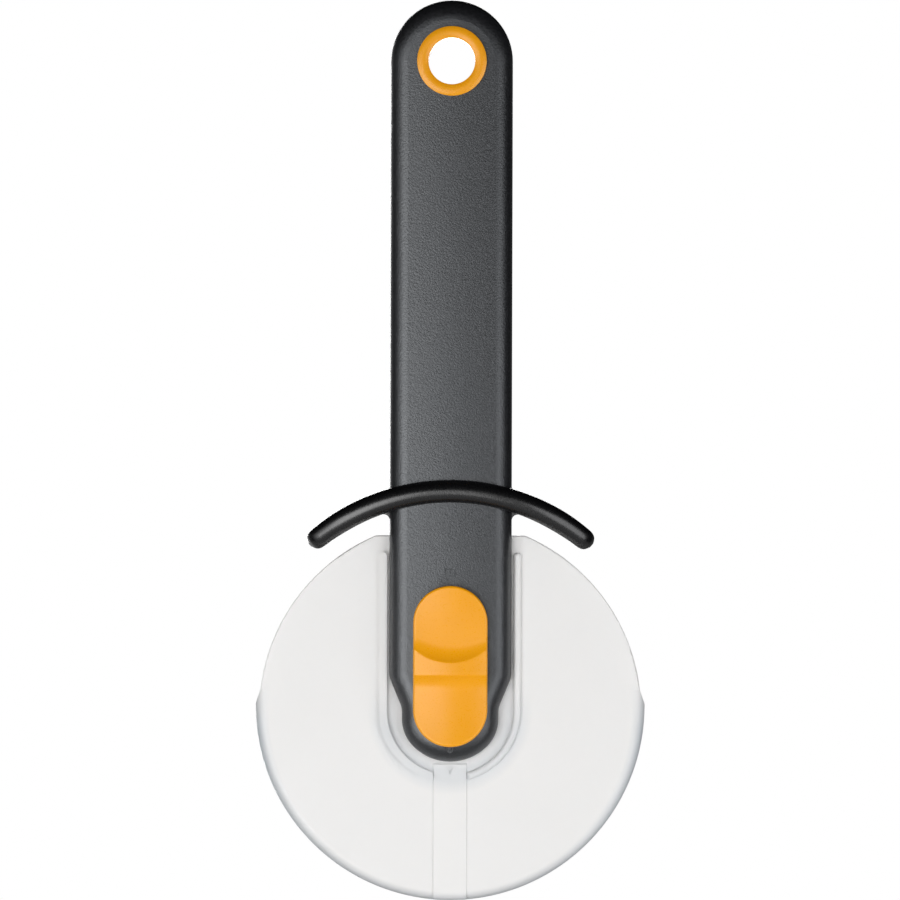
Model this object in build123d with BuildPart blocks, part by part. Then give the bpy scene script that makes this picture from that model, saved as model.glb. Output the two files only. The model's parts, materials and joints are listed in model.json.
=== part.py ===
from build123d import *
import math
import os

# Pizza cutter wheel with a slide-on blade cover and a sliding wheel lock.
# Millimetres. +Z runs up the handle, -Y is the front with the lock button, +X is to the right.
# The origin is the centre of the hang hole, on the handle's middle plane.

os.makedirs("parts", exist_ok=True)

# Handle
grip_width = 28.6           # across the grip, and across its round top
handle_depth = 17.0         # front to back at the middle of the grip
crown_rise = 0.8            # how far the middle of a face stands above its sides
edge_round = 4.5            # along the outer edges
wall = 2.0                  # of both shells
axle_drop = 152.25          # from the hang hole down to the wheel's axle
shoulder_height = 8.0       # above the axle, where the arms start to narrow
neck_height = 0.85          # above the axle, where they stop
neck_share = 0.9224         # half the width there, of the boss's radius
boss_radius = 12.25         # round lower end of both fork arms
boss_rise = 0.5             # middle of that round above the axle
boss_side_round = 9.0       # between the neck's sides and that round
shoulder_round = 6.0
neck_round = 5.0
neck_straight_share = 0.47  # of the neck's straight, the most that one round may take
fork_gap = 6.4              # between the two arms
fork_depth = 46.5           # from the axle up to the root of the fork
bridge_height = 5.5         # solid bridge across the handle at the root of the fork
bridge_drop = 3.0           # how far that bridge reaches down into the arms
rib = 1.5                   # stiffening ribs inside the grip
rib_count = 5
inner_round = 1.0           # inside corners of the arms

# Pegs that line up the two shells
peg_radius = 1.2
peg_length = 3.0
peg_boss_radius = 2.6
peg_spread = 14.0           # between the pegs of a pair
peg_top_drop = 22.0         # from the hang hole down to the upper pair
peg_pair_pitch = 60.0       # from the upper pair down to the lower pair

# Gaps
bond_gap = 0.03             # between pieces that are glued, pressed or welded together
slide_gap = 0.25            # beside and behind pieces that slide
running_gap = 0.05          # around the axle, on the radius
overrun = 1.0               # how far a cut runs past what it cuts

# Hang ring, the eyelet in the top of the handle
hang_hole_radius = 5.45
ring_radius = 8.13
ring_sleeve = 1.25          # wall of its sleeve
ring_seat = 0.5             # how deep its rims sit in the faces
ring_proud = 0.9            # how far the crest of its rims stands out
ring_lip = 0.35             # how far the crest stands above the rim's inner and outer edge
ring_boss = 1.5             # wall of the shells' tube around it

# Finger guard, a bow about a point above the axle
guard_radius = 49.4         # its middle line
guard_rise = 2.2            # middle of that line above the axle
guard_thickness = 5.3       # at the middle, away from the axle
guard_tip_thickness = 4.5
guard_depth = 22.6          # front to back, at the middle
guard_tip_depth = 8.4
guard_reach = 33.1          # from the middle to a tip
guard_section_shares = (0, 0.2, 0.4, 0.6, 0.78, 0.9, 0.955, 0.985, 0.998)
guard_low_round = 1.4       # in the corner between the bow and the grip's side, below
guard_high_round = 0.5      # above

# Lock button, lock plate and their spring
button_width = 17.4
button_length = 37.7
button_rise = 0.5           # middle of its lower round above the axle
button_height = 3.3         # at the crest between its two finger scoops
button_crown = 40.0         # radius of its face, from side to side
button_round = 0.6
button_foot = 0.15          # clear gap between the button and the face it slides on
crest_low = 8.6             # lower edge of the crest, above the axle
crest_width = 3.0           # at its middle
scoop_depth = 1.5
scoop_wall = 4.0            # from the crest to the lowest line of a scoop
scoop_end = 0.45            # depth of the scoops at the button's ends
scoop_bow = 22.0            # radius of the crest's upper edge, seen from the front
lock_travel = 5.0
stem_width = 5.0
stem_length = 18.0
stem_height = 12.5          # middle of the stem above the axle
plate_thickness = 1.2
plate_width = 11.0
plate_margin = 1.0          # metal left around the wide hole and above the stem
tongue_width = 3.9
tongue_gap = 0.33           # between the raised tongue and the spring's post
rail = 1.5                  # ribs on both sides of the plate
lock_screw_spread = 11.0
lock_screw_radius = 0.8
lock_screw_head_radius = 1.7
lock_screw_cover = 1.0      # plastic left between its tip and a scoop
spring_strip = 0.5
spring_width = 1.5
spring_head_gap = 0.7       # between its bow and the bridge
spring_foot_gap = 1.1       # between the ends of its legs and the raised plate's shoulders
spring_gap = 0.05           # between a leg and the tongue

# Padlock signs sunk into the face: open above the button, closed at its lower end
padlock_width = 2.6
padlock_height = 2.0
padlock_line = 0.4
padlock_sink = 0.35
closed_sink = 0.9           # of the closed one, under the crest of the rounded face
padlock_bow = 0.8           # radius of the open bow
padlock_rise = 31.7         # lower edge of the open one's body, above the axle
padlock_drop = 8.25         # lower edge of the closed one's body, below the axle
closed_bow = 0.5            # inner radius of the closed bow
closed_bow_leg = 0.75

# Axle and the knob that pulls it out
axle_radius = 4.0
axle_tip_radius = 2.8
axle_neck_radius = 1.9      # in the groove that the lock plate enters
axle_tip_length = 1.1       # beyond the groove
axle_chamfer = 0.4
axle_tail_radius = 2.5
knob_radius = 8.5
knob_sink = 1.8             # depth of its seat in the back face
knob_proud = 0.5
knob_round = 0.6
knob_cap = 1.2              # plastic left behind the axle's tail
knob_slot_length = 12.0
knob_slot_width = 1.6
knob_slot_depth = 0.7
liner = 1.2                 # plates that close the insides of the arms

# Wheel
wheel_radius = 42.0
wheel_thickness = 1.0
wheel_edge = 0.16           # thickness left at the ground edge
wheel_bevel = 3.0           # width of the ground edge
hub_radius = 9.0
hub_length = 5.1
hub_round = 0.5
bush_wall = 1.15
bush_flange = 0.8           # how far its middle flange stands out
rivet_count = 3
rivet_radius = 0.6
rivet_head_radius = 1.0
rivet_head = 0.45
washer = 0.5
washer_radius = 6.0

# Blade cover
cover_wall = 1.2
cover_inner_gap = 0.9       # between a sheet and the side of the wheel
rim_radius = 45.6           # lower half, the closed rim
rim_rise = 1.3              # middle of the rim above the axle
rim_ramp = 3.3              # height over which the rim's ends run out to its full width
rim_wall = 1.2
rim_inner_round = 0.8
rim_round_share = 0.96      # of the rim's half thickness, the round on its outside
rim_top = 5.1               # above the axle, where the closed rim ends
sheet_radius = 44.75        # upper half, where the two sheets end separately
sheet_top = 41.2            # above the axle
sheet_corner = 2.4
sheet_edge_round = 0.35
slot_gap = 0.6              # beside the hub
ridge_gap = 0.5             # between the ridge and the arms
ridge_width = 1.8
ridge_height = 1.1
ridge_top = 37.2            # above the axle
ridge_round = 0.8
spine_width = 8.0           # flat bar from the boss down over the rim
spine_gap = 0.5             # between the boss and the bar
spine_height = 0.35
spine_round = 0.3
spine_end_round = 1.6       # where it runs out over the rim
arrow_width = 1.5
arrow_length = 1.9
arrow_sink = 0.4
arrow_gap = 1.1             # below the boss

# Worked out from the sizes above
half_grip = grip_width / 2
half_depth = handle_depth / 2
half_gap = fork_gap / 2
half_wheel = wheel_thickness / 2
half_hub = hub_length / 2
root_z = fork_depth - axle_drop
bridge_low = root_z - bridge_drop
bridge_high = bridge_low + bridge_height
crown_radius = (half_grip**2 + crown_rise**2) / (2 * crown_rise)
sleeve_radius = hang_hole_radius + ring_sleeve
ring_boss_radius = sleeve_radius + bond_gap + ring_boss
rib_pitch = (-bridge_high - ring_boss_radius) / (rib_count + 1)
bush_radius = axle_radius + running_gap + bush_wall
bush_flange_radius = bush_radius + bush_flange
rivet_circle = (bush_radius + hub_radius) / 2
slot_radius = hub_radius + slot_gap
sheet_low = half_wheel + cover_inner_gap
sheet_high = sheet_low + cover_wall
ridge_inner = half_grip + ridge_gap
ridge_outer = ridge_inner + ridge_width
liner_back = half_gap + liner
plate_low = liner_back + slide_gap
plate_high = plate_low + plate_thickness
groove_low = plate_low - slide_gap
groove_high = plate_high + slide_gap
tip_end = groove_high + axle_tip_length
button_base = half_depth + button_foot
button_top = button_base + button_height
screw_tip = button_top - scoop_depth - lock_screw_cover
button_straight = button_length - button_width
button_low = button_rise - button_width / 2 - overrun
button_high = button_rise + button_straight + button_width / 2 + overrun
wide_hole_radius = axle_tip_radius + slide_gap
narrow_half = axle_neck_radius + slide_gap
knob_seat = half_depth - knob_sink
knob_top = half_depth + knob_proud
leg_inner = tongue_width / 2 + spring_gap
bow_radius = leg_inner + spring_strip / 2
post_radius = leg_inner - bond_gap
bow_top = fork_depth - bridge_drop - spring_head_gap
spring_bow = bow_top - bow_radius - spring_strip / 2
tongue_top = spring_bow - post_radius - lock_travel - tongue_gap
plate_top = stem_height + stem_length / 2 + plate_margin
spring_end = plate_top + lock_travel + spring_foot_gap
half_neck = neck_share * boss_radius
boss_low = boss_radius - boss_rise
boss_bulge = boss_radius**2 - half_neck**2
side_low = boss_rise - math.sqrt(boss_bulge)
neck_turn = abs(math.atan2(half_grip - half_neck, shoulder_height - neck_height))
neck_straight = neck_straight_share * (neck_height - side_low)
neck_limit = neck_straight / math.tan(neck_turn / 2)
side_high = neck_height - neck_straight
side_limit = (boss_bulge - (boss_rise - side_high)**2) / (2 * (boss_radius - half_neck))
grip_pegs = [
    (side * peg_spread / 2, height)
    for side in (-1, 1)
    for height in (-peg_top_drop, -peg_top_drop - peg_pair_pitch)
]
lock_screws_at = [
    (0, stem_height - lock_screw_spread / 2),
    (0, stem_height + lock_screw_spread / 2),
]


def axle_plane(depth):
    """Plane facing the front, centred on the axle, `depth` in front of the middle plane."""
    return Plane(origin=(0, -depth, -axle_drop), x_dir=(1, 0, 0), z_dir=(0, -1, 0))


def turning_plane(height):
    """Plane whose X runs outwards and whose Y runs to the front, for turned profiles."""
    return Plane(origin=(0, 0, height), x_dir=(1, 0, 0), z_dir=(0, 0, -1))


def handle_outline(inset):
    """The handle seen from the front, drawn in by `inset` along its whole edge."""
    with BuildSketch(Plane.XZ) as outline:
        with BuildLine():
            FilletPolyline(
                (half_grip, 0),
                (half_grip, shoulder_height - axle_drop),
                (half_neck, neck_height - axle_drop),
                (half_neck, side_low - axle_drop),
                radius=[shoulder_round, min(neck_round, neck_limit)],
            )
            mirror(about=Plane.YZ)
            ThreePointArc((-half_grip, 0), (0, half_grip), (half_grip, 0))
            ThreePointArc(
                (-half_neck, side_low - axle_drop),
                (0, -boss_low - axle_drop),
                (half_neck, side_low - axle_drop),
            )
        make_face()
        fillet(outline.vertices().group_by(Axis.Y)[0], radius=min(boss_side_round, side_limit))
        if inset:
            offset(amount=-inset)
    return outline.sketch


def handle_form(inset, depth, edge):
    """Front half of the handle's outer form: crowned face, rounded edge, flat middle plane."""
    with BuildPart() as form:
        extrude(handle_outline(inset), amount=depth + overrun)
        with BuildSketch(Plane.XY.offset(grip_width)):
            with Locations((0, crown_radius - depth)):
                Circle(crown_radius)
        extrude(amount=-axle_drop - 2 * grip_width, mode=Mode.INTERSECT)
        fillet(form.faces().sort_by(Axis.Y)[0].edges(), radius=edge)
    return form.part


def band(low_z, high_z):
    """Everything between two heights, wider and deeper than the handle."""
    with BuildPart() as slab:
        with BuildSketch(Plane.XY.offset(low_z)):
            Rectangle(2 * grip_width, 2 * grip_width)
        extrude(amount=high_z - low_z)
    return slab.part


def grip_hollow():
    """Hollow of the grip in one shell, with ribs and bosses left standing in it."""
    rib_middle = (bridge_high - ring_boss_radius) / 2
    with BuildPart() as hollow:
        add(handle_form(wall, half_depth - wall, edge_round - wall))
        add(band(bridge_high, grip_width), mode=Mode.INTERSECT)
        with BuildSketch(Plane.XZ):
            Circle(ring_boss_radius)
            with Locations((0, rib_middle)):
                Rectangle(rib, -bridge_high)
                with GridLocations(0, rib_pitch, 1, rib_count):
                    Rectangle(grip_width, rib)
            with Locations(*grip_pegs):
                Circle(peg_boss_radius)
        extrude(amount=handle_depth, mode=Mode.SUBTRACT)
    return hollow.part


def arm_hollow():
    """Hollow of one arm, from the fork's gap to the outer wall."""
    with BuildPart() as hollow:
        add(handle_form(wall, half_depth - wall, inner_round))
        add(band(-axle_drop - grip_width, bridge_low), mode=Mode.INTERSECT)
    return hollow.part


def front_arm_hollow():
    """Hollow of the front arm, with the plate's rails and the spring's post left standing."""
    rail_place = plate_width / 2 + slide_gap + rail / 2
    with BuildPart() as hollow:
        add(arm_hollow())
        with BuildSketch(axle_plane(liner_back)):
            with Locations((-rail_place, fork_depth / 2), (rail_place, fork_depth / 2)):
                Rectangle(rail, fork_depth)
            with Locations((0, spring_bow)):
                Circle(post_radius)
        extrude(amount=handle_depth, mode=Mode.SUBTRACT)
        with BuildSketch(axle_plane(liner_back)):
            with Locations((0, plate_top / 2)):
                Rectangle(plate_width + 2 * slide_gap, plate_top + 2 * lock_travel)
            with Locations((0, -lock_travel)):
                Circle(wide_hole_radius + plate_margin + slide_gap)
        extrude(amount=groove_high - liner_back)
    return hollow.part


def back_arm_hollow():
    """Hollow of the back arm, with a solid boss around the axle and ribs left standing."""
    with BuildPart() as hollow:
        add(arm_hollow())
        with BuildSketch(axle_plane(liner_back)):
            Rectangle(2 * grip_width, 2 * (knob_radius + wall))
            with Locations((0, fork_depth / 2)):
                Rectangle(rib, fork_depth)
                Rectangle(grip_width, rib)
        extrude(amount=handle_depth, mode=Mode.SUBTRACT)
    return hollow.part


def shell_blank():
    """One shell facing the front: hollow grip, fork gap and the seat of the hang ring."""
    with BuildPart() as blank:
        add(handle_form(0, half_depth, edge_round))
        add(grip_hollow(), mode=Mode.SUBTRACT)
        with BuildSketch(axle_plane(0)):
            Rectangle(2 * grip_width, 2 * fork_depth)
        extrude(amount=half_gap, mode=Mode.SUBTRACT)
        with BuildSketch(Plane.XZ):
            Circle(sleeve_radius + bond_gap)
        extrude(amount=handle_depth, mode=Mode.SUBTRACT)
        with BuildSketch(Plane.XZ.offset(half_depth - ring_seat)):
            Circle(ring_radius + bond_gap)
        extrude(amount=handle_depth, mode=Mode.SUBTRACT)
    return blank.part


def padlock_body(low_edge):
    """Body of a padlock sign in lines, with a key line in it."""
    inner_height = padlock_height - 2 * padlock_line
    with BuildSketch() as body:
        with Locations((0, low_edge + padlock_height / 2)):
            Rectangle(padlock_width, padlock_height)
            Rectangle(padlock_width - 2 * padlock_line, inner_height, mode=Mode.SUBTRACT)
            Rectangle(padlock_line, inner_height / 2)
    return body.sketch


def open_padlock():
    """Sign of the unlocked position: the bow hangs open from one corner."""
    with BuildSketch(axle_plane(half_depth - padlock_sink)) as sign:
        add(padlock_body(padlock_rise))
        with BuildLine():
            CenterArc((-padlock_width / 2, padlock_rise - padlock_bow), padlock_bow, 90, -290)
        trace(line_width=padlock_line)
    return sign.sketch


def closed_padlock():
    """Sign of the locked position: the bow stands closed, below the body."""
    bow_low = -padlock_drop - closed_bow_leg
    with BuildSketch(axle_plane(half_depth - closed_sink)) as sign:
        add(padlock_body(-padlock_drop))
        with BuildLine():
            Line((-closed_bow, -padlock_drop), (-closed_bow, bow_low))
            ThreePointArc((-closed_bow, bow_low), (0, bow_low - closed_bow), (closed_bow, bow_low))
            Line((closed_bow, bow_low), (closed_bow, -padlock_drop))
        trace(line_width=padlock_line)
        with Locations((-2 * closed_bow, -padlock_drop), (2 * closed_bow, -padlock_drop)):
            Rectangle(padlock_line, 2 * closed_bow_leg)
    return sign.sketch


def mirrored(part):
    """A part made facing the front, turned to face the back."""
    with BuildPart() as turned:
        mirror(part, about=Plane.XZ)
    return turned.part


# Front shell: button slot, lock channel, padlock signs and the pegs
with BuildPart() as handle_front_shell:
    add(shell_blank())
    add(front_arm_hollow(), mode=Mode.SUBTRACT)
    with BuildSketch(axle_plane(plate_high)):
        with Locations((0, stem_height + lock_travel / 2)):
            Rectangle(stem_width + 2 * slide_gap, stem_length + lock_travel + 2 * slide_gap)
    extrude(amount=handle_depth, mode=Mode.SUBTRACT)
    with BuildSketch(axle_plane(plate_high)):
        Circle(axle_tip_radius + slide_gap)
    extrude(amount=tip_end + slide_gap - plate_high, mode=Mode.SUBTRACT)
    extrude(open_padlock(), amount=handle_depth, mode=Mode.SUBTRACT)
    extrude(closed_padlock(), amount=handle_depth, mode=Mode.SUBTRACT)
    with BuildSketch(Plane.XZ):
        with Locations(*grip_pegs):
            Circle(peg_radius)
    extrude(amount=-peg_length)
handle_front_shell.part.label = "handle_front_shell"
export_step(handle_front_shell.part, "parts/handle_front_shell.step")


def back_shell():
    """Back shell, drawn facing the front: seat of the knob, axle hole and peg sockets."""
    with BuildPart() as shell:
        add(shell_blank())
        add(back_arm_hollow(), mode=Mode.SUBTRACT)
        with BuildSketch(axle_plane(knob_seat)):
            Circle(knob_radius + slide_gap)
        extrude(amount=handle_depth, mode=Mode.SUBTRACT)
        with BuildSketch(axle_plane(0)):
            Circle(axle_radius + bond_gap)
        extrude(amount=handle_depth, mode=Mode.SUBTRACT)
        with BuildSketch(Plane.XZ):
            with Locations(*grip_pegs):
                Circle(peg_radius + bond_gap)
        extrude(amount=peg_length + bond_gap, mode=Mode.SUBTRACT)
    return shell.part


with BuildPart() as handle_back_shell:
    add(mirrored(back_shell()))
handle_back_shell.part.label = "handle_back_shell"
export_step(handle_back_shell.part, "parts/handle_back_shell.step")


def fork_liner(hole_radius):
    """Plate that closes the inside of an arm, drawn facing the front."""
    with BuildPart() as plate:
        extrude(handle_outline(wall + bond_gap), amount=liner_back)
        add(band(-axle_drop - grip_width, bridge_low - bond_gap), mode=Mode.INTERSECT)
        with BuildSketch(Plane.XZ):
            with Locations((0, -axle_drop / 2)):
                Rectangle(2 * grip_width, 2 * axle_drop)
        extrude(amount=half_gap, mode=Mode.SUBTRACT)
        with BuildSketch(axle_plane(0)):
            Circle(hole_radius)
        extrude(amount=handle_depth, mode=Mode.SUBTRACT)
    return plate.part


# Front liner, between the lock plate and the wheel
with BuildPart() as fork_liner_front:
    add(fork_liner(axle_tip_radius + running_gap))
fork_liner_front.part.label = "fork_liner_front"
export_step(fork_liner_front.part, "parts/fork_liner_front.step")


# Back liner
with BuildPart() as fork_liner_back:
    add(mirrored(fork_liner(axle_radius + bond_gap)))
fork_liner_back.part.label = "fork_liner_back"
export_step(fork_liner_back.part, "parts/fork_liner_back.step")


def ring_rim(inner, outer):
    """The part of a domed rim between two radii, seated in the front face."""
    edge = half_depth + ring_proud - ring_lip
    with BuildPart() as rim:
        with BuildSketch(turning_plane(0)):
            with BuildLine():
                Polyline(
                    (hang_hole_radius, edge),
                    (hang_hole_radius, half_depth - ring_seat),
                    (ring_radius, half_depth - ring_seat),
                    (ring_radius, edge),
                )
                ThreePointArc(
                    (ring_radius, edge),
                    ((hang_hole_radius + ring_radius) / 2, half_depth + ring_proud),
                    (hang_hole_radius, edge),
                )
            make_face()
        revolve(axis=Axis.Y)
        with BuildSketch(Plane.XZ):
            Circle(outer)
            Circle(inner, mode=Mode.SUBTRACT)
        extrude(amount=handle_depth, mode=Mode.INTERSECT)
    return rim.part


# Hang ring: the front rim carries the sleeve, and the back rim is pressed on its end
with BuildPart() as hang_ring_front:
    add(ring_rim(hang_hole_radius - overrun, ring_radius + overrun))
    add(mirrored(ring_rim(hang_hole_radius - overrun, sleeve_radius)))
    with BuildSketch(Plane.XZ):
        Circle(sleeve_radius)
        Circle(hang_hole_radius, mode=Mode.SUBTRACT)
    extrude(amount=half_depth - ring_seat, both=True)
hang_ring_front.part.label = "hang_ring_front"
export_step(hang_ring_front.part, "parts/hang_ring_front.step")

with BuildPart() as hang_ring_back:
    add(mirrored(ring_rim(sleeve_radius + bond_gap, ring_radius + overrun)))
hang_ring_back.part.label = "hang_ring_back"
export_step(hang_ring_back.part, "parts/hang_ring_back.step")


def guard_plane(share):
    """Plane across the bow, a share of the way from its middle to the right tip."""
    angle = share * math.asin(guard_reach / guard_radius)
    across = (math.sin(angle), 0, math.cos(angle))
    along = (math.cos(angle), 0, -math.sin(angle))
    place = (guard_radius * across[0], 0, guard_radius * across[2] + guard_rise - axle_drop)
    return Plane(origin=place, x_dir=across, z_dir=along)


def guard_size(share):
    """Depth and thickness of the bow's section at a share of the way to a tip."""
    bow_length = guard_radius * math.asin(guard_reach / guard_radius)
    round_start = 1 - guard_tip_thickness / 2 / bow_length
    past = max(0, (abs(share) - round_start) / (1 - round_start))
    rounding = math.sqrt(1 - past**2)
    fullness = 1 - abs(share) ** 3
    depth = guard_tip_depth + (guard_depth - guard_tip_depth) * fullness
    thickness = guard_thickness - (guard_thickness - guard_tip_thickness) * share**8
    return depth * rounding, thickness * rounding


def guard_rounds():
    """Fillings of the corners between the bow and the flat sides of the grip."""
    with BuildSketch(axle_plane(0)) as rounds:
        for edge, corner in ((-1, guard_low_round), (1, guard_high_round)):
            bow_edge = guard_radius + edge * guard_thickness / 2
            reach = bow_edge + edge * corner
            middle_x = half_grip + corner
            middle_y = math.sqrt(reach**2 - middle_x**2) + guard_rise
            width = middle_x * bow_edge / reach - half_grip
            for side in (-1, 1):
                with Locations((side * (half_grip + width / 2), middle_y - edge * corner)):
                    Rectangle(width, 2 * corner)
            with Locations((-middle_x, middle_y), (middle_x, middle_y)):
                Circle(corner, mode=Mode.SUBTRACT)
    return rounds.sketch


# Finger guard: a bow that the grip passes through
with BuildPart() as finger_guard:
    for share in [-share for share in guard_section_shares[:0:-1]] + list(guard_section_shares):
        with BuildSketch(guard_plane(share)):
            SlotOverall(*guard_size(share), rotation=90)
    loft()
    extrude(guard_rounds(), amount=half_depth - edge_round, both=True)
    add(handle_form(-bond_gap, half_depth + bond_gap, edge_round), mode=Mode.SUBTRACT)
    add(mirrored(handle_form(-bond_gap, half_depth + bond_gap, edge_round)), mode=Mode.SUBTRACT)
finger_guard.part.label = "finger_guard"
export_step(finger_guard.part, "parts/finger_guard.step")

axle_axis = Axis((0, 0, -axle_drop), (0, 1, 0))

# Axle: shaft through the wheel, grooved tip in the lock plate, tail in the knob
with BuildPart() as axle_pin:
    with BuildSketch(turning_plane(-axle_drop)):
        with BuildLine():
            Polyline(
                (0, knob_cap - knob_top),
                (axle_tail_radius, knob_cap - knob_top),
                (axle_tail_radius, -half_gap),
                (axle_radius, -half_gap),
                (axle_radius, half_gap - bond_gap),
                (axle_tip_radius, half_gap - bond_gap),
                (axle_tip_radius, groove_low),
                (axle_neck_radius, groove_low),
                (axle_neck_radius, groove_high),
                (axle_tip_radius, groove_high),
                (axle_tip_radius, tip_end - axle_chamfer),
                (axle_tip_radius - axle_chamfer, tip_end),
                (0, tip_end),
                close=True,
            )
        make_face()
    revolve(axis=axle_axis)
axle_pin.part.label = "axle_pin"
export_step(axle_pin.part, "parts/axle_pin.step")


def knob_form():
    """Knob of the axle, drawn facing the front: disc, stem, bore and coin slot."""
    with BuildPart() as knob:
        with BuildSketch(axle_plane(knob_seat)):
            Circle(knob_radius)
        extrude(amount=knob_top - knob_seat)
        fillet(knob.edges().sort_by(Axis.Y)[0], radius=knob_round)
        with BuildSketch(axle_plane(half_gap)):
            Circle(axle_radius)
        extrude(amount=knob_seat - half_gap)
        with BuildSketch(axle_plane(half_gap)):
            Circle(axle_tail_radius + bond_gap)
        extrude(amount=knob_top - knob_cap - half_gap, mode=Mode.SUBTRACT)
        with BuildSketch(axle_plane(knob_top - knob_slot_depth)):
            SlotOverall(knob_slot_length, knob_slot_width)
        extrude(amount=knob_slot_depth + overrun, mode=Mode.SUBTRACT)
    return knob.part


with BuildPart() as axle_knob:
    add(mirrored(knob_form()))
axle_knob.part.label = "axle_knob"
export_step(axle_knob.part, "parts/axle_knob.step")

# Hairpin spring whose legs rub on the lock plate's tongue
with BuildPart() as lock_spring:
    with BuildSketch(axle_plane(plate_low)):
        with BuildLine():
            Line((-bow_radius, spring_end), (-bow_radius, spring_bow))
            ThreePointArc(
                (-bow_radius, spring_bow),
                (0, spring_bow + bow_radius),
                (bow_radius, spring_bow),
            )
            Line((bow_radius, spring_bow), (bow_radius, spring_end))
        trace(line_width=spring_strip)
    extrude(amount=spring_width)
lock_spring.part.label = "lock_spring"
export_step(lock_spring.part, "parts/lock_spring.step")


def lock_screw(grow):
    """Countersunk screw from the plate into the button's stem, `grow` larger on the radius."""
    cone_top = plate_low + lock_screw_head_radius - lock_screw_radius
    with BuildPart() as screw:
        with BuildSketch(turning_plane(0)):
            with BuildLine():
                Polyline(
                    (0, plate_low),
                    (lock_screw_head_radius + grow, plate_low),
                    (lock_screw_radius + grow, cone_top),
                    (lock_screw_radius + grow, screw_tip + grow),
                    (0, screw_tip + grow),
                    close=True,
                )
            make_face()
        revolve(axis=Axis.Y)
    return screw.part


lock_screw_places = [(x, 0, height - axle_drop) for x, height in lock_screws_at]

def crowned_button():
    """Everything under the button's crowned face, with the lower scoop across it."""
    across = Plane(origin=(0, button_crown - button_top, -axle_drop), x_dir=(0, 0, 1), z_dir=(-1, 0, 0))
    floor = (crest_low - scoop_wall, button_crown - scoop_depth)
    end = (button_low, button_crown - scoop_end)
    with BuildPart() as form:
        with BuildSketch(across):
            with BuildLine():
                TangentArc(floor, end, tangent=(-1, 0))
                TangentArc(floor, (crest_low, button_crown), tangent=(1, 0))
                Polyline(
                    (crest_low, button_crown),
                    (button_high, button_crown),
                    (button_high, 0),
                    (button_low, 0),
                    end,
                )
            make_face()
        revolve(axis=Axis(across.origin, (0, 0, 1)))
    return form.part


def upper_scoop():
    """Bowl whose wall is the crest's upper edge, turned about a line near the button's end."""
    middle_z = crest_low + crest_width + scoop_bow - axle_drop
    floor_radius = scoop_bow - scoop_wall
    middle = (0, button_top - scoop_end)
    turn = (floor_radius / 2, button_top - (scoop_end + scoop_depth) / 2)
    floor = (floor_radius, button_top - scoop_depth)
    with BuildPart() as bowl:
        with BuildSketch(turning_plane(middle_z)):
            with BuildLine():
                TangentArc(middle, turn, tangent=(1, 0))
                TangentArc(floor, turn, tangent=(-1, 0))
                TangentArc(floor, (scoop_bow, button_top), tangent=(1, 0))
                Polyline(
                    (scoop_bow, button_top),
                    (scoop_bow + overrun, button_top + overrun),
                    (0, button_top + overrun),
                    middle,
                )
            make_face()
        revolve(axis=Axis((0, 0, middle_z), (0, 1, 0)))
    return bowl.part


# Lock button: cap with two finger scoops, and a stem that reaches the lock plate
with BuildPart() as lock_button:
    with BuildSketch(axle_plane(button_base)):
        with Locations((0, button_rise + button_straight / 2)):
            SlotCenterToCenter(button_straight, button_width, rotation=90)
    extrude(amount=button_height + overrun)
    add(crowned_button(), mode=Mode.INTERSECT)
    add(upper_scoop(), mode=Mode.SUBTRACT)
    top_edges = lock_button.edges().filter_by(
        lambda edge: edge.bounding_box().max.Y < -button_base - bond_gap
    )
    fillet(top_edges, radius=button_round)
    with BuildSketch(axle_plane(plate_high)):
        with Locations((0, stem_height)):
            Rectangle(stem_width, stem_length)
    extrude(amount=button_base - plate_high)
    with Locations(*lock_screw_places):
        add(lock_screw(bond_gap), mode=Mode.SUBTRACT)
lock_button.part.label = "lock_button"
export_step(lock_button.part, "parts/lock_button.step")

# Lock plate: keyhole around the axle's groove, and a tongue between the spring's legs
with BuildPart() as lock_plate:
    with BuildSketch(axle_plane(plate_low)):
        with Locations((0, (plate_top - lock_travel) / 2)):
            Rectangle(plate_width, plate_top + lock_travel)
        with Locations((0, (plate_top + tongue_top) / 2)):
            Rectangle(tongue_width, tongue_top - plate_top)
        with Locations((0, -lock_travel)):
            Circle(wide_hole_radius + plate_margin)
            Circle(wide_hole_radius, mode=Mode.SUBTRACT)
        with Locations((0, -lock_travel / 2)):
            SlotCenterToCenter(lock_travel, 2 * narrow_half, rotation=90, mode=Mode.SUBTRACT)
    extrude(amount=plate_thickness)
    with Locations(*lock_screw_places):
        add(lock_screw(bond_gap), mode=Mode.SUBTRACT)
lock_plate.part.label = "lock_plate"
export_step(lock_plate.part, "parts/lock_plate.step")

with BuildPart() as lock_screws:
    with Locations(*lock_screw_places):
        add(lock_screw(0))
lock_screws.part.label = "lock_screws"
export_step(lock_screws.part, "parts/lock_screws.step")

# Cutting wheel: steel disc ground to an edge from both sides
with BuildPart() as cutting_wheel:
    with BuildSketch(turning_plane(-axle_drop)):
        with BuildLine():
            Polyline(
                (bush_flange_radius + bond_gap, -half_wheel),
                (wheel_radius - wheel_bevel, -half_wheel),
                (wheel_radius, -wheel_edge / 2),
                (wheel_radius, wheel_edge / 2),
                (wheel_radius - wheel_bevel, half_wheel),
                (bush_flange_radius + bond_gap, half_wheel),
                close=True,
            )
        make_face()
    revolve(axis=axle_axis)
    with BuildSketch(axle_plane(0)):
        with PolarLocations(rivet_circle, rivet_count):
            Circle(rivet_radius + bond_gap)
    extrude(amount=wheel_thickness, both=True, mode=Mode.SUBTRACT)
cutting_wheel.part.label = "cutting_wheel"
export_step(cutting_wheel.part, "parts/cutting_wheel.step")


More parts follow.
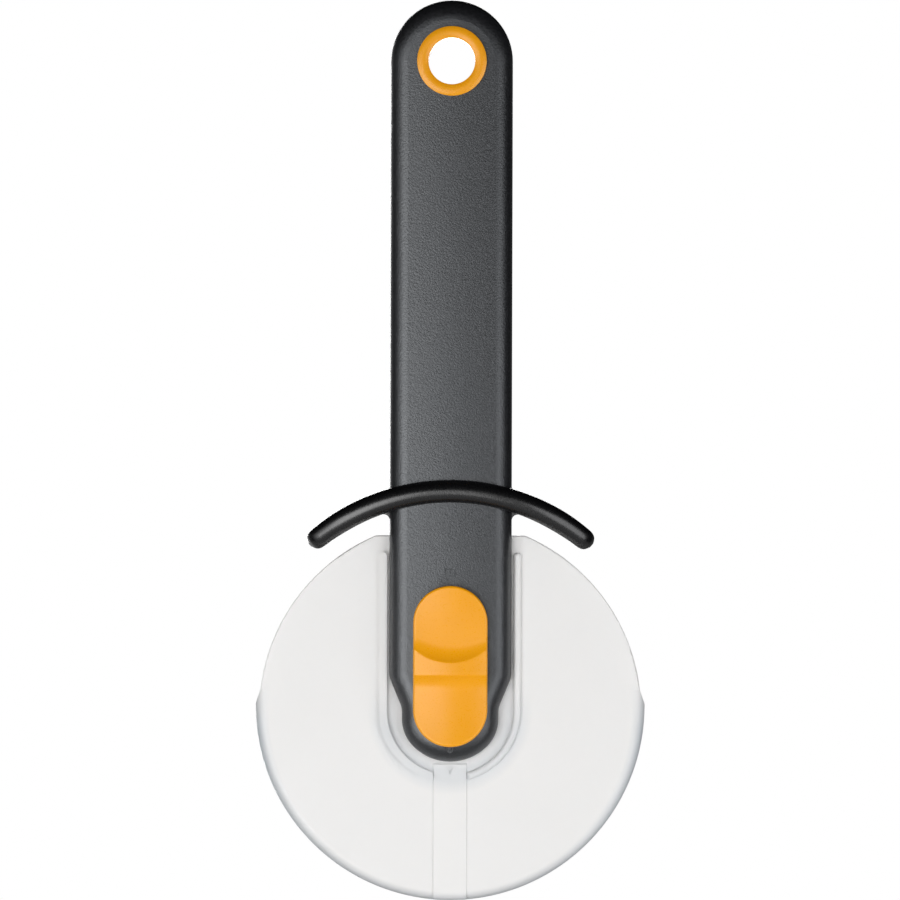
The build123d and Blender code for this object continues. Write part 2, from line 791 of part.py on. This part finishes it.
def hub_half():
    """One half of the hub, drawn facing the front, with seats for the rivets' heads."""
    with BuildPart() as half:
        with BuildSketch(axle_plane(half_wheel)):
            Circle(hub_radius)
            Circle(bush_radius + bond_gap, mode=Mode.SUBTRACT)
        extrude(amount=half_hub - half_wheel)
        rims = half.faces().sort_by(Axis.Y)[0].edges().sort_by(SortBy.LENGTH)
        fillet(rims[-1], radius=hub_round)
        with BuildSketch(axle_plane(0)):
            with PolarLocations(rivet_circle, rivet_count):
                Circle(rivet_radius + bond_gap)
        extrude(amount=hub_length, mode=Mode.SUBTRACT)
        with BuildSketch(axle_plane(half_hub - rivet_head)):
            with PolarLocations(rivet_circle, rivet_count):
                Circle(rivet_head_radius + bond_gap)
        extrude(amount=rivet_head + overrun, mode=Mode.SUBTRACT)
    return half.part


with BuildPart() as wheel_hub_front:
    add(hub_half())
wheel_hub_front.part.label = "wheel_hub_front"
export_step(wheel_hub_front.part, "parts/wheel_hub_front.step")

with BuildPart() as wheel_hub_back:
    add(mirrored(hub_half()))
wheel_hub_back.part.label = "wheel_hub_back"
export_step(wheel_hub_back.part, "parts/wheel_hub_back.step")

# Bush in the hub, with a middle flange that sits in the wheel's hole
with BuildPart() as hub_bush:
    with BuildSketch(axle_plane(0)):
        Circle(bush_radius)
    extrude(amount=half_hub, both=True)
    with BuildSketch(axle_plane(0)):
        Circle(bush_flange_radius)
    extrude(amount=half_wheel, both=True)
    with BuildSketch(axle_plane(0)):
        Circle(axle_radius + running_gap)
    extrude(amount=hub_length, both=True, mode=Mode.SUBTRACT)
hub_bush.part.label = "hub_bush"
export_step(hub_bush.part, "parts/hub_bush.step")

# Rivets through the hub and the wheel
with BuildPart() as hub_rivets:
    with BuildSketch(axle_plane(0)):
        with PolarLocations(rivet_circle, rivet_count):
            Circle(rivet_radius)
    extrude(amount=half_hub, both=True)
    for face in (half_hub - rivet_head, -half_hub):
        with BuildSketch(axle_plane(face)):
            with PolarLocations(rivet_circle, rivet_count):
                Circle(rivet_head_radius)
        extrude(amount=rivet_head)
hub_rivets.part.label = "hub_rivets"
export_step(hub_rivets.part, "parts/hub_rivets.step")

# Thrust washers between the hub and the liners
with BuildPart() as thrust_washers:
    play = (half_gap - half_hub - washer) / 2
    for face in (half_hub + play, -half_hub - play - washer):
        with BuildSketch(axle_plane(face)):
            Circle(washer_radius)
            Circle(axle_radius + running_gap, mode=Mode.SUBTRACT)
        extrude(amount=washer)
thrust_washers.part.label = "thrust_washers"
export_step(thrust_washers.part, "parts/thrust_washers.step")


def upper_sheet():
    """Upper part of a cover sheet, from the end of the closed rim to its two top corners."""
    with BuildPart() as sheet:
        with BuildSketch(axle_plane(sheet_low)) as outline:
            Circle(sheet_radius)
            with Locations((0, (rim_top + sheet_top) / 2)):
                Rectangle(2 * sheet_radius, sheet_top - rim_top, mode=Mode.INTERSECT)
            fillet(outline.vertices().group_by(Axis.Y)[-1], radius=sheet_corner)
        extrude(amount=cover_wall)
        fillet(
            sheet.faces().sort_by(Axis.Y)[0].edges().sort_by(Axis.Z)[1:],
            radius=sheet_edge_round,
        )
    return sheet.part


def closed_rim():
    """Lower part of a cover half, out to the full-round rim."""
    end_x = math.sqrt(sheet_radius**2 - rim_top**2)
    with BuildPart() as rim:
        with BuildSketch(axle_plane(0)):
            with Locations((0, rim_rise)):
                Circle(rim_radius)
            Polygon(
                (-end_x, rim_top),
                (-rim_radius, rim_top - rim_ramp),
                (-rim_radius, -rim_radius),
                (rim_radius, -rim_radius),
                (rim_radius, rim_top - rim_ramp),
                (end_x, rim_top),
                align=None,
                mode=Mode.INTERSECT,
            )
        extrude(amount=sheet_high)
        front_edges = rim.faces().sort_by(Axis.Y)[0].edges()
        fillet(front_edges.filter_by(GeomType.CIRCLE), radius=sheet_high * rim_round_share)
    return rim.part


def blade_space():
    """Space for the wheel in the lower part of a cover half."""
    with BuildPart() as space:
        with BuildSketch(axle_plane(0)):
            with Locations((0, rim_rise)):
                Circle(rim_radius - rim_wall)
        extrude(amount=sheet_low)
        fillet(space.faces().sort_by(Axis.Y)[0].edges(), radius=rim_inner_round)
    return space.part


def ridge_form():
    """U-shaped ridge around the fork arm, open where the spine passes through."""
    with BuildPart() as ridge:
        with BuildSketch(axle_plane(sheet_low + cover_wall / 2)) as outline:
            Circle(ridge_outer)
            with Locations((0, ridge_top / 2)):
                Rectangle(2 * ridge_outer, ridge_top)
            Circle(ridge_inner, mode=Mode.SUBTRACT)
            with Locations((0, ridge_top)):
                Rectangle(2 * ridge_inner, 2 * ridge_top, mode=Mode.SUBTRACT)
            with Locations((0, -ridge_outer)):
                Rectangle(spine_width, 2 * ridge_inner, mode=Mode.SUBTRACT)
            fillet(outline.vertices().group_by(Axis.Y)[-1], radius=ridge_round)
        extrude(amount=cover_wall / 2 + ridge_height)
        fillet(ridge.faces().sort_by(Axis.Y)[0].edges(), radius=ridge_round)
    return ridge.part


def spine_form():
    """Flat bar from the boss straight down over the rim."""
    with BuildPart() as spine:
        with BuildSketch(axle_plane(0)):
            with Locations((0, rim_rise)):
                Circle(rim_radius)
            with Locations((0, -boss_low - spine_gap - rim_radius / 2)):
                Rectangle(spine_width, rim_radius, mode=Mode.INTERSECT)
        extrude(amount=sheet_high + spine_height)
        lowest = spine.faces().sort_by(Axis.Y)[0].edges().sort_by(Axis.Z)[0]
        fillet(lowest, radius=spine_end_round)
        outline = spine.faces().sort_by(Axis.Y)[0].edges().sort_by(Axis.Z)
        fillet(outline[1:], radius=spine_round)
    return spine.part


def cover_half():
    """One half of the blade cover, drawn facing the front."""
    with BuildPart() as half:
        add(closed_rim())
        add(spine_form())
        add(blade_space(), mode=Mode.SUBTRACT)
        add(upper_sheet())
        add(ridge_form())
        with BuildSketch(axle_plane(0)):
            Circle(slot_radius)
            with Locations((0, sheet_top / 2)):
                Rectangle(2 * slot_radius, sheet_top + overrun)
        extrude(amount=handle_depth, mode=Mode.SUBTRACT)
        with BuildSketch(axle_plane(sheet_high + spine_height - arrow_sink)):
            arrow_top = -boss_low - arrow_gap
            Polygon(
                (-arrow_width / 2, arrow_top),
                (0, arrow_top - arrow_length),
                (arrow_width / 2, arrow_top),
                align=None,
            )
        extrude(amount=arrow_sink + overrun, mode=Mode.SUBTRACT)
    return half.part


with BuildPart() as cover_front_half:
    add(cover_half())
cover_front_half.part.label = "cover_front_half"
export_step(cover_front_half.part, "parts/cover_front_half.step")

with BuildPart() as cover_back_half:
    add(mirrored(cover_half()))
cover_back_half.part.label = "cover_back_half"
export_step(cover_back_half.part, "parts/cover_back_half.step")
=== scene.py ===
import json
import math

import bpy
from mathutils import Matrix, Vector


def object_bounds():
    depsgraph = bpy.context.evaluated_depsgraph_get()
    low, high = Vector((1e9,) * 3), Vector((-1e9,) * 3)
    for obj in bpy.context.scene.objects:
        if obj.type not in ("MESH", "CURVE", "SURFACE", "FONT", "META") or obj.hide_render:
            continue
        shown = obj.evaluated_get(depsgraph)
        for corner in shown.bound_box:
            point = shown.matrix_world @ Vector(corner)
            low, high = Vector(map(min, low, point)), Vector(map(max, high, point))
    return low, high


# Looks of the pizza cutter wheel with its blade cover. Metres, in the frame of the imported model:
# +Z runs up the handle, -Y is the front with the lock button, and the origin is the hang hole.

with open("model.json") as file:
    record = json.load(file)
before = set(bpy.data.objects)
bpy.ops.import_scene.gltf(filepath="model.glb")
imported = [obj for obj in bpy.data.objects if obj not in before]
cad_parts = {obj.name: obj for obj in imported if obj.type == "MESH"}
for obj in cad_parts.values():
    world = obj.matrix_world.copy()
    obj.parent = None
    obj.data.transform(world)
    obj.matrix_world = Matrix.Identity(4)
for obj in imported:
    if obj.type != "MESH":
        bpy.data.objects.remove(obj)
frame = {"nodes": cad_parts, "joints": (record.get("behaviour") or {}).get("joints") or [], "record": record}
cad_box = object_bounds()

MM = 0.001
axle = Vector(next(j for j in frame["joints"] if j["name"] == "wheel_spin")["pos_m"])


class Graph:
    """A node tree, with short ways to add the nodes that the materials and the world need."""

    def __init__(self, tree):
        self.tree = tree

    def put(self, socket, value):
        """Set a socket to a number or a colour, or link an output to it."""
        if isinstance(value, bpy.types.NodeSocket):
            self.tree.links.new(value, socket)
        else:
            socket.default_value = value

    def maths(self, kind, first, second=0.0):
        """Result of a Math node, such as ADD or MULTIPLY."""
        node = self.tree.nodes.new("ShaderNodeMath")
        node.operation = kind
        self.put(node.inputs[0], first)
        self.put(node.inputs[1], second)
        return node.outputs[0]

    def spread(self, value, low, high, start=0.3, end=0.7):
        """Number that goes from low to high while a value goes from start to end.

        A noise stays mostly between 0.3 and 0.7, which are the start and end where none are given.
        """
        node = self.tree.nodes.new("ShaderNodeMapRange")
        self.put(node.inputs["Value"], value)
        for socket, number in (("From Min", start), ("From Max", end), ("To Min", low), ("To Max", high)):
            self.put(node.inputs[socket], number)
        return node.outputs["Result"]

    def axes(self, vector):
        """The X, Y and Z of a vector."""
        split = self.tree.nodes.new("ShaderNodeSeparateXYZ")
        self.put(split.inputs[0], vector)
        return split.outputs


# Materials

class Finish(Graph):
    """A procedural material around one Principled shader, in the coordinates of the frame."""

    def __init__(self, name, **sockets):
        self.material = bpy.data.materials.new(name)
        self.material.use_nodes = True
        super().__init__(self.material.node_tree)
        self.shader = next(n for n in self.tree.nodes if n.type == "BSDF_PRINCIPLED")
        self.place = self.tree.nodes.new("ShaderNodeTexCoord").outputs["Object"]
        self.set(**sockets)

    def set(self, **sockets):
        """Set or link sockets of the shader, named with an underscore for each space."""
        for name, value in sockets.items():
            self.put(self.shader.inputs[name.replace("_", " ")], value)

    def noise(self, size, detail=2.0, roughness=0.5, squeeze=(1, 1, 1), seed=0):
        """Noise from 0 to 1, its grains about `size` metres, squeezed by factors along X, Y and Z."""
        mapping = self.tree.nodes.new("ShaderNodeMapping")
        self.put(mapping.inputs["Vector"], self.place)
        self.put(mapping.inputs["Location"], (seed, seed, seed))
        self.put(mapping.inputs["Scale"], squeeze)
        noise = self.tree.nodes.new("ShaderNodeTexNoise")
        self.put(noise.inputs["Vector"], mapping.outputs["Vector"])
        self.put(noise.inputs["Scale"], 1 / size)
        self.put(noise.inputs["Detail"], detail)
        self.put(noise.inputs["Roughness"], roughness)
        return noise.outputs["Fac"]

    def between(self, factor, low, high):
        """Colour that goes from low to high with a factor."""
        node = self.tree.nodes.new("ShaderNodeMix")
        node.data_type = "RGBA"
        self.put(node.inputs[0], factor)
        colours = [socket for socket in node.inputs if socket.type == "RGBA"]
        for socket, colour in zip(colours, (low, high)):
            self.put(socket, colour if isinstance(colour, bpy.types.NodeSocket) else (*colour, 1))
        return next(socket for socket in node.outputs if socket.type == "RGBA")

    def bump(self, height, depth, strength):
        """Normal of a surface whose height varies by about `depth` metres."""
        node = self.tree.nodes.new("ShaderNodeBump")
        self.put(node.inputs["Distance"], depth)
        self.put(node.inputs["Strength"], strength)
        self.put(node.inputs["Height"], height)
        return node.outputs["Normal"]

    def axle_polar(self):
        """Distance from the wheel's axle, and height above it, in metres."""
        x, _, z = self.axes(self.place)
        rise = self.maths("SUBTRACT", z, axle.z)
        squares = self.maths("ADD", self.maths("MULTIPLY", x, x), self.maths("MULTIPLY", rise, rise))
        return self.maths("SQRT", squares), rise


def handle_plastic():
    """Charcoal plastic with a fine spark-eroded grain."""
    grain_size = 0.42 * MM
    grain_depth = 0.08 * MM
    patch_size = 5 * MM
    patch_share = 0.25          # of the patches' even tone, at most
    pits = (0.002, 0.002, 0.0024)
    peaks = (0.018, 0.0184, 0.021)
    patches = (0.008, 0.0084, 0.0098)
    gloss_tint = (0.93, 0.965, 1.0, 1.0)

    finish = Finish("handle_plastic", Specular_IOR_Level=0.9, Specular_Tint=gloss_tint)
    grain = finish.noise(grain_size, detail=3, roughness=0.6)
    patch = finish.noise(patch_size, detail=2, seed=3)
    shade = finish.between(finish.spread(grain, 0, 1), pits, peaks)
    finish.set(
        Base_Color=finish.between(finish.spread(patch, 0, patch_share), shade, patches),
        Roughness=finish.spread(grain, 0.3, 0.42),
        Normal=finish.bump(grain, grain_depth, strength=0.9),
    )
    return finish.material


def guard_plastic():
    """Black plastic, smoother and glossier than the handle's."""
    mottle_size = 4 * MM
    grain_size = 0.5 * MM
    grain_depth = 0.012 * MM
    dark = (0.0018, 0.0018, 0.0022)
    light = (0.004, 0.004, 0.0046)

    finish = Finish("guard_plastic", Specular_IOR_Level=0.75)
    mottle = finish.noise(mottle_size)
    grain = finish.noise(grain_size)
    finish.set(
        Base_Color=finish.between(mottle, dark, light),
        Roughness=finish.spread(grain, 0.24, 0.33),
        Normal=finish.bump(grain, grain_depth, strength=0.5),
    )
    return finish.material


def accent_plastic():
    """Orange plastic with a soft sheen."""
    glow_depth = 1.2 * MM
    mottle_size = 5 * MM
    grain_size = 0.35 * MM
    grain_depth = 0.01 * MM
    deep = (0.83, 0.335, 0.001)
    bright = (0.87, 0.36, 0.0016)

    finish = Finish(
        "accent_plastic", Specular_IOR_Level=0.42, Subsurface_Weight=0.06,
        Subsurface_Scale=glow_depth, Subsurface_Radius=(1.0, 0.4, 0.05),
    )
    mottle = finish.noise(mottle_size)
    grain = finish.noise(grain_size, detail=3)
    finish.set(
        Base_Color=finish.between(mottle, deep, bright),
        Roughness=finish.spread(grain, 0.25, 0.35),
        Normal=finish.bump(grain, grain_depth, strength=0.4),
    )
    return finish.material


def cover_plastic():
    """Milky plastic that lets some light through, cooler where its rim is thicker, with painted shade in a
    band around the boss and painted shade darkening the rim downwards.
    """
    glow_depth = 1.6 * MM
    cloud_size = 14 * MM
    grain_size = 0.6 * MM
    grain_depth = 0.008 * MM

    # Distances from the axle: the rim's tint, and the weaker painted shade in a band around the boss
    rim_start = 42.4 * MM
    rim_full = 45.2 * MM
    boss_shade_start = 11.5 * MM
    boss_shade_full = 14 * MM
    boss_shade_fade = 16.4 * MM
    boss_shade_end = 19.5 * MM
    boss_shade_share = 0.5

    # Heights above the axle: the rim's tint and the painted shade around the boss fade out upwards, and
    # painted shade makes the rim darkest at its lowest point
    tint_and_shade_fade = -4 * MM
    tint_and_shade_end = 7 * MM
    bottom_shade_full = -43 * MM
    bottom_shade_end = -28 * MM

    milk = (0.9, 0.89, 0.875)
    cream = (0.92, 0.91, 0.896)
    # The rim's own grey-blue tint, also used for the painted shade around the boss; then the rim's colour
    # darkened by painted shade at its lowest point
    tint_and_shade_colour = (0.64, 0.68, 0.715)
    rim_shade_colour = (0.5, 0.53, 0.565)

    finish = Finish(
        "cover_plastic", IOR=1.45, Transmission_Weight=0.15, Subsurface_Weight=0.35,
        Subsurface_Scale=glow_depth, Subsurface_Radius=(1.0, 0.97, 0.94),
    )
    cloud = finish.noise(cloud_size, detail=3)
    grain = finish.noise(grain_size, detail=2)
    radius, rise = finish.axle_polar()
    rim = finish.spread(radius, 0, 1, rim_start, rim_full)
    # Painted shade: a grey band on the sheet around the boss, joined with the rim's own tint
    boss_shade_inside = finish.spread(radius, 0, boss_shade_share, boss_shade_start, boss_shade_full)
    boss_shade_outside = finish.spread(radius, 1, 0, boss_shade_fade, boss_shade_end)
    rim_tint_and_boss_shade = finish.maths("MAXIMUM", rim, finish.maths("MULTIPLY", boss_shade_inside, boss_shade_outside))
    faded_tint_and_shade = finish.maths("MULTIPLY", rim_tint_and_boss_shade, finish.spread(rise, 1, 0, tint_and_shade_fade, tint_and_shade_end))
    # Painted shade: the rim darkens towards its lowest point
    painted_bottom_shade = finish.spread(rise, 1, 0, bottom_shade_full, bottom_shade_end)
    face = finish.between(cloud, milk, cream)
    finish.set(
        Base_Color=finish.between(faded_tint_and_shade, face, finish.between(painted_bottom_shade, tint_and_shade_colour, rim_shade_colour)),
        Roughness=finish.spread(grain, 0.38, 0.48),
        Normal=finish.bump(grain, grain_depth, strength=0.35),
    )
    return finish.material


def inner_plastic(name, grain_size, grain_depth, strength, dark, light, **sockets):
    """Plain plastic of the pieces inside the fork."""
    finish = Finish(name, **sockets)
    grain = finish.noise(grain_size)
    finish.set(
        Base_Color=finish.between(grain, dark, light),
        Normal=finish.bump(grain, grain_depth, strength),
    )
    return finish.material


def blade_steel():
    """Steel disc with rings of fine brushing about the axle."""
    ring_width = 0.12 * MM
    ring_depth = 0.004 * MM
    smudge_size = 9 * MM
    dark = (0.205, 0.208, 0.214)
    light = (0.275, 0.277, 0.281)

    finish = Finish("blade_steel", Metallic=1.0, Anisotropic=0.85)
    around = finish.tree.nodes.new("ShaderNodeTangent")
    around.direction_type = "RADIAL"
    around.axis = "Y"
    noise = finish.tree.nodes.new("ShaderNodeTexNoise")
    noise.noise_dimensions = "1D"
    finish.put(noise.inputs["W"], finish.axle_polar()[0])
    finish.put(noise.inputs["Scale"], 1 / ring_width)
    finish.put(noise.inputs["Detail"], 3)
    rings = noise.outputs["Fac"]
    smudge = finish.noise(smudge_size, detail=4)
    finish.set(
        Base_Color=finish.between(rings, dark, light),
        Roughness=finish.maths("ADD", finish.spread(rings, 0.26, 0.36), finish.spread(smudge, 0, 0.06)),
        Normal=finish.bump(rings, ring_depth, strength=0.5),
        Tangent=around.outputs["Tangent"],
    )
    return finish.material


def plain_steel(name, colour, roughness, squeeze):
    """Steel with fine marks, noise that is squeezed to lines."""
    mark_size = 0.8 * MM
    mark_depth = 0.004 * MM
    dull_share = 0.82           # of the colour's brightness, in the marks
    variation = 0.06            # of the roughness, up and down

    finish = Finish(name, Metallic=1.0)
    marks = finish.noise(mark_size, detail=3, squeeze=squeeze)
    finish.set(
        Base_Color=finish.between(marks, tuple(dull_share * part for part in colour), colour),
        Roughness=finish.spread(marks, roughness - variation, roughness + variation),
        Normal=finish.bump(marks, mark_depth, strength=0.4),
    )
    return finish.material


materials = {
    "handle_plastic": handle_plastic(),
    "guard_plastic": guard_plastic(),
    "accent_plastic": accent_plastic(),
    "cover_plastic": cover_plastic(),
    "hub_plastic": inner_plastic(
        "hub_plastic", grain_size=0.4 * MM, grain_depth=0.01 * MM, strength=0.4,
        dark=(0.012, 0.012, 0.013), light=(0.02, 0.02, 0.022), Roughness=0.45,
    ),
    "bearing_plastic": inner_plastic(
        "bearing_plastic", grain_size=0.5 * MM, grain_depth=0.006 * MM, strength=0.3,
        dark=(0.74, 0.72, 0.67), light=(0.8, 0.78, 0.73), Roughness=0.4,
        Subsurface_Weight=0.2, Subsurface_Scale=1 * MM,
    ),
    "blade_steel": blade_steel(),
    "axle_steel": plain_steel("axle_steel", (0.62, 0.62, 0.63), roughness=0.26, squeeze=(1, 12, 1)),
    "plate_steel": plain_steel("plate_steel", (0.55, 0.555, 0.56), roughness=0.34, squeeze=(10, 1, 1)),
    "spring_steel": plain_steel("spring_steel", (0.34, 0.36, 0.42), roughness=0.3, squeeze=(6, 6, 1)),
}

for part in frame["record"]["subparts"]:
    node = frame["nodes"][part["node"]]
    node.data.materials.clear()
    node.data.materials.append(materials[part["material_slot"]])


# Studio: camera, lamps, background and floor

FRONT_FACE = -8.5 * MM          # depth of the handle's face, where the photograph's scale was measured
CAMERA_BACK = 3000 * MM         # from the middle plane
CAMERA_ROLL = -0.155            # degrees: the object leans a little to the right in the photograph
CLIP_START = 10 * MM
VIEW_HEIGHT = 210.5 * MM        # of the photograph's frame, at the front face
VIEW_MIDDLE = Vector((-0.2 * MM, 0, -91.0 * MM))
SENSOR = 36.0                   # width of the camera's sensor, from which its lens follows

camera = bpy.data.objects.new("camera", bpy.data.cameras.new("camera"))
camera.data.sensor_width = SENSOR
camera.data.lens = SENSOR * (CAMERA_BACK + FRONT_FACE) / VIEW_HEIGHT
camera.data.clip_start = CLIP_START
camera.location = VIEW_MIDDLE + Vector((0, -CAMERA_BACK, 0))
camera.rotation_euler = (math.radians(90), math.radians(CAMERA_ROLL), 0)
bpy.context.scene.collection.objects.link(camera)
bpy.context.scene.camera = camera


def softbox(name, azimuth, distance, height, size, radiance, colour=(1, 1, 1)):
    """Area lamp, its azimuth in degrees to the right of the camera, aimed level at the object."""
    turn = math.radians(azimuth)
    lamp = bpy.data.lights.new(name, "AREA")
    lamp.shape = "RECTANGLE"
    lamp.size, lamp.size_y = size
    lamp.energy = radiance * math.pi * lamp.size * lamp.size_y
    lamp.color = colour
    box = bpy.data.objects.new(name, lamp)
    box.location = (distance * math.sin(turn), -distance * math.cos(turn), height)
    box.rotation_euler = (Vector((0, 0, height)) - box.location).to_track_quat("-Z", "Y").to_euler()
    bpy.context.scene.collection.objects.link(box)


softbox(
    "softbox_left", azimuth=-26, distance=500 * MM, height=-220 * MM,
    size=(440 * MM, 400 * MM), radiance=2.85,
)
softbox(
    "softbox_right", azimuth=42, distance=500 * MM, height=-210 * MM,
    size=(360 * MM, 400 * MM), radiance=2.35, colour=(0.98, 0.985, 1.0),
)
softbox(
    "softbox_back", azimuth=-172, distance=900 * MM, height=-20 * MM,
    size=(500 * MM, 500 * MM), radiance=6.4,
)


def studio_world():
    """White for what the camera sees, directly or through things, and softer light for the object."""
    # A bright band lies around the object. Its limits are the X, Y or Z of a direction from the
    # object, which go from -1 to 1.
    band_middle = -0.2          # Z, so the band lies a little below level
    band_half = 0.22            # how far above and below that it starts to fade
    band_end = 0.5
    band_rest = 0.01            # what is left beyond its end
    front_full = -0.85          # Y, towards the camera
    front_end = -0.1
    front_rest = 0.03
    back_full = 0.95            # Y, behind the object, where the band is weaker
    back_end = 0.55
    back_level = 0.45
    left_full = -0.45           # X: in gloss the band is brighter on the left
    left_end = 0.05
    left_gain = 2.3
    right_gain = 0.35
    soft_everywhere = 0.2       # light on dull surfaces from everywhere
    soft_band = 0.3             # and what the band adds to it

    world = bpy.data.worlds.new("studio")
    bpy.context.scene.world = world
    world.use_nodes = True
    graph = Graph(world.node_tree)
    nodes = graph.tree.nodes
    nodes.clear()
    path = nodes.new("ShaderNodeLightPath").outputs
    gloss = path["Is Glossy Ray"]
    seen = graph.maths("MAXIMUM", path["Is Camera Ray"], path["Is Transmission Ray"])
    x, y, z = graph.axes(nodes.new("ShaderNodeTexCoord").outputs["Generated"])

    height = graph.maths("ABSOLUTE", graph.maths("SUBTRACT", z, band_middle))
    level = graph.spread(height, 1, band_rest, band_half, band_end)
    ahead = graph.spread(y, 1, front_rest, front_full, front_end)
    behind = graph.spread(y, back_level, 0, back_full, back_end)
    band = graph.maths("MULTIPLY", level, graph.maths("MAXIMUM", ahead, behind))
    side = graph.spread(x, left_gain, right_gain, left_full, left_end)
    mirrored = graph.maths("MULTIPLY", gloss, graph.maths("MULTIPLY", band, side))
    shown = graph.maths("MAXIMUM", seen, mirrored)
    plain = graph.maths("SUBTRACT", 1.0, graph.maths("MAXIMUM", seen, gloss))
    soft = graph.maths("ADD", soft_everywhere, graph.maths("MULTIPLY", band, soft_band))
    strength = graph.maths("ADD", shown, graph.maths("MULTIPLY", plain, soft))

    background = nodes.new("ShaderNodeBackground")
    graph.put(background.inputs["Color"], (1, 1, 1, 1))
    graph.put(background.inputs["Strength"], strength)
    graph.put(nodes.new("ShaderNodeOutputWorld").inputs["Surface"], background.outputs[0])


def studio_floor():
    """Pale floor, which keeps the object's shadow."""
    drop = 250 * MM             # from the object's lowest point
    half = 420 * MM
    camera_paint = 0.9          # its grey where the camera sees it
    bounce_paint = 0.45         # and where it lights the object from below
    camera_glow = 0.6           # light of its own that only the camera sees

    height = cad_box[0].z - drop
    corners = [(half * x, half * y, height) for x, y in ((-1, -1), (1, -1), (1, 1), (-1, 1))]
    mesh = bpy.data.meshes.new("floor")
    mesh.from_pydata(corners, [], [(0, 1, 2, 3)])
    floor = bpy.data.objects.new("floor", mesh)
    bpy.context.scene.collection.objects.link(floor)

    finish = Finish("floor", Roughness=0.9, Emission_Color=(1, 1, 1, 1))
    seen = finish.tree.nodes.new("ShaderNodeLightPath").outputs["Is Camera Ray"]
    finish.set(
        Base_Color=finish.spread(seen, bounce_paint, camera_paint, start=0, end=1),
        Emission_Strength=finish.maths("MULTIPLY", seen, camera_glow),
    )
    mesh.materials.append(finish.material)


studio_world()
studio_floor()

bpy.context.scene.view_settings.view_transform = "Standard"
